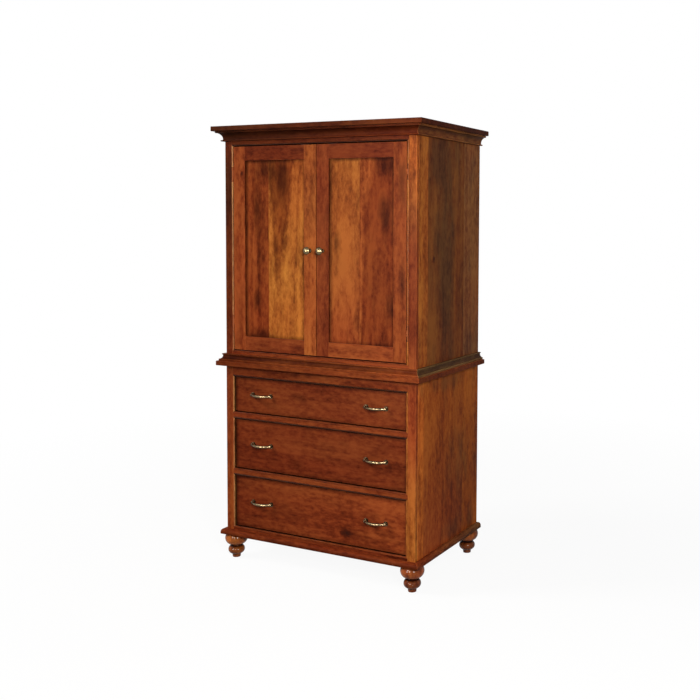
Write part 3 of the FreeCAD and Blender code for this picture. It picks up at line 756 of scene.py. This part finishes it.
# Moulding tones that run darker to the left end are partly the wood's own tone and partly painted shade where
# less light falls on the left
MOULDING_TONES = {
    "cornice_front": ("umber", "brick"), "cornice_returns": "chestnut", "waist_front": ("cocoa", "cherry"),
    "waist_returns": "olive", "base_front": "brick", "base_returns": ("russet", "bark"),
    "top_board": ("umber", "cocoa"), "chest_top": ("cocoa", "cherry"),
}
for node, tone in MOULDING_TONES.items():
    low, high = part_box(node)
    level = {"top": high.z, "bottom": low.z}
    places = MOULDING_BANDS.get(node.split("_")[0], ())
    bands = [(level[end] + rise, reach, most) for end, rise, reach, most in places]
    dress(node, (tone,), SHAPED_EDGE, under=UNDERSIDE_SHADE_SHARE, bands=bands)

# Feet: front left, back left, front right, back right, with painted shadow under the case, painted shade in
# the neck, and a darker ball and stub
FOOT_TONES = ("copper", "amber", "amber", "amber")
FOOT_BANDS = ((0.11, 0.018, 1.0), (0.056, 0.008, 0.9), (0.034, 0.016, 1.0), (0.008, 0.016, 0.8))
dress("feet", FOOT_TONES, NO_EDGE, along=Z, finish=turned_wood, bands=FOOT_BANDS)

# Inside and back
SHELF_TONES, SHELF_SAWS, FLOOR_SAWS = ("cherry", "russet", "brick"), (-0.06, 0.12), (-0.07, 0.11)
dress("shelves", SHELF_TONES, SHAPED_EDGE, SHELF_SAWS)
dress("upper_floor", SHELF_TONES, BOX_EDGE, FLOOR_SAWS)
dress("drawer_runners", ("pale",), BOX_EDGE)
for node in ("upper_back", "chest_back", "chest_bottom"):
    dress(node, ("sand",), BACK_EDGE)

# Metal and plastic pieces keep their CAD shapes
for node, shape in nodes.items():
    if not shape.hide_render:
        shape.data.materials.clear()
        shape.data.materials.append(knob_metal if node.endswith("knob") else materials[slot_of[node]])


# Camera, from a fit of the corners to the photograph, in pixels, degrees and metres
FOCAL_PIXELS, IMAGE_PIXELS, CENTRE_PIXELS = 938.6, 700.0, (480.0, 275.0)
CAMERA_ANGLES, CAMERA_PLACE = (25.161, -3.284, 0.511), (2.3055, -3.5577, 1.5226)
SENSOR_WIDTH = 36.0
yaw, pitch, roll = (math.radians(a) for a in CAMERA_ANGLES)
ahead = Vector((-math.sin(yaw), math.cos(yaw), 0))
look = ahead * math.cos(pitch) + Vector((0, 0, math.sin(pitch)))
up = -ahead * math.sin(pitch) + Vector((0, 0, math.cos(pitch)))
right = Vector((math.cos(yaw), math.sin(yaw), 0))
right, up = right * math.cos(roll) + up * math.sin(roll), up * math.cos(roll) - right * math.sin(roll)
lens = bpy.data.cameras.new("camera")
lens.sensor_width = SENSOR_WIDTH
lens.lens = FOCAL_PIXELS / IMAGE_PIXELS * lens.sensor_width
lens.shift_x = 0.5 - CENTRE_PIXELS[0] / IMAGE_PIXELS
lens.shift_y = CENTRE_PIXELS[1] / IMAGE_PIXELS - 0.5
camera = bpy.data.objects.new("camera", lens)
turn = Matrix((right, up, -look)).transposed().to_4x4()
camera.matrix_world = Matrix.Translation(CAMERA_PLACE) @ turn
bpy.context.scene.collection.objects.link(camera)
bpy.context.scene.camera = camera


def area(name, place, target, size, power, colour=(1.0, 1.0, 1.0)):
    """A square or oblong lamp that faces its target."""
    light = bpy.data.lights.new(name, "AREA")
    light.shape, light.size, light.size_y = "RECTANGLE", *size
    light.energy, light.color = power, colour
    lamp = bpy.data.objects.new(name, light)
    lamp.location = place
    lamp.rotation_mode = "QUATERNION"
    lamp.rotation_quaternion = (Vector(target) - Vector(place)).to_track_quat("-Z", "Y")
    bpy.context.scene.collection.objects.link(lamp)
    return lamp


# Tinted lamps that light the object, and white ones that only make highlights: place, size, watts, tint
LIT_TARGET, GLOSS_TARGET = (0, -0.27, 1.0), (0, -0.27, 1.2)
LIT = {
    "key": ((2.5, -2.9, 1.9), (0.8, 0.8), 105.0, (1.0, 0.97, 0.93)),
    "upper_left": ((-5.9, -3.6, 5.3), (2.4, 2.4), 450.0, (1.0, 0.98, 0.95)),
}
STRIP_SIZE, STRIP_POWER = (0.4, 1.8), 180.0
GLOSS = {
    "strip_left": ((-0.92, -3.9, 1.6), STRIP_SIZE, STRIP_POWER),
    "strip_middle": ((0.61, -3.9, 1.6), STRIP_SIZE, STRIP_POWER),
    "strip_right": ((2.85, -2.8, 1.6), STRIP_SIZE, STRIP_POWER),
    "glow": ((-3.0, -2.4, 3.2), (1.2, 1.2), 45.0),
}
for name, (place, size, power, colour) in LIT.items():
    area(name, place, LIT_TARGET, size, power, colour).visible_glossy = False
for name, (place, size, power) in GLOSS.items():
    area(name, place, GLOSS_TARGET, size, power).visible_diffuse = False


def shown_white(tree, dim, output):
    """Dim for the light that falls on the object, white where the background or its reflection is seen."""
    paths = tree.nodes.new("ShaderNodeLightPath")
    most = paths.outputs["Is Camera Ray"]
    for ray in ("Is Glossy Ray", "Is Transmission Ray"):
        larger = tree.nodes.new("ShaderNodeMath")
        larger.operation = "MAXIMUM"
        tree.links.new(most, larger.inputs[0])
        tree.links.new(paths.outputs[ray], larger.inputs[1])
        most = larger.outputs[0]
    on_floor = output.type == "OUTPUT_MATERIAL"
    white = tree.nodes.new("ShaderNodeEmission" if on_floor else "ShaderNodeBackground")
    white.inputs["Color"].default_value = (1.0, 1.0, 1.0, 1.0)
    blend = tree.nodes.new("ShaderNodeMixShader")
    tree.links.new(dim, blend.inputs[1])
    tree.links.new(white.outputs[0], blend.inputs[2])
    tree.links.new(blend.outputs[0], output.inputs["Surface"])
    return most, blend.inputs[0]


# A white room: the floor and the world show white behind the object, and the floor keeps its shadow
WORLD_DIM = (0.16, 0.16, 0.16, 1.0)
world = bpy.data.worlds.new("studio")
bpy.context.scene.world = world
world.use_nodes = True
tree = world.node_tree
background = tree.nodes["Background"]
background.inputs["Color"].default_value = WORLD_DIM
seen, factor = shown_white(tree, background.outputs[0], tree.nodes["World Output"])
tree.links.new(seen, factor)

# The floor's size and roughness, how white it is shown near the object and far from it, and its own colour
# for rays that light the object and for rays that see it
FLOOR_SIZE, FLOOR_ROUGHNESS = 40.0, 0.9
FLOOR_NEAR, FLOOR_FAR, FLOOR_WHITE_NEAR, FLOOR_WHITE_FAR = 1.2, 3.5, 0.93, 1.0
FLOOR_UNSEEN, FLOOR_SEEN = 0.15, 1.0
bpy.ops.mesh.primitive_plane_add(size=FLOOR_SIZE)
floor = bpy.context.object
floor.name = "floor"
paper = bpy.data.materials.new("floor_paper")
paper.use_nodes = True
tree = paper.node_tree
plain = tree.nodes["Principled BSDF"]
plain.inputs["Roughness"].default_value = FLOOR_ROUGHNESS
plain.inputs["Specular IOR Level"].default_value = 0.0
seen, factor = shown_white(tree, plain.outputs[0], tree.nodes["Material Output"])
distance = tree.nodes.new("ShaderNodeVectorMath")
distance.operation = "LENGTH"
tree.links.new(tree.nodes.new("ShaderNodeNewGeometry").outputs["Position"], distance.inputs[0])
fade = tree.nodes.new("ShaderNodeMapRange")
fade.inputs[FROM_LOW].default_value = FLOOR_NEAR
fade.inputs[FROM_HIGH].default_value = FLOOR_FAR
fade.inputs[TO_LOW].default_value = FLOOR_WHITE_NEAR
fade.inputs[TO_HIGH].default_value = FLOOR_WHITE_FAR
tree.links.new(distance.outputs["Value"], fade.inputs[RANGE_VALUE])
share = tree.nodes.new("ShaderNodeMath")
share.operation = "MULTIPLY"
tree.links.new(seen, share.inputs[0])
tree.links.new(fade.outputs[0], share.inputs[1])
tree.links.new(share.outputs[0], factor)
shade = tree.nodes.new("ShaderNodeMapRange")
shade.inputs[TO_LOW].default_value = FLOOR_UNSEEN
shade.inputs[TO_HIGH].default_value = FLOOR_SEEN
tree.links.new(seen, shade.inputs[RANGE_VALUE])
tree.links.new(shade.outputs[0], plain.inputs["Base Color"])
floor.data.materials.append(paper)

bpy.context.scene.view_settings.view_transform = "Standard"
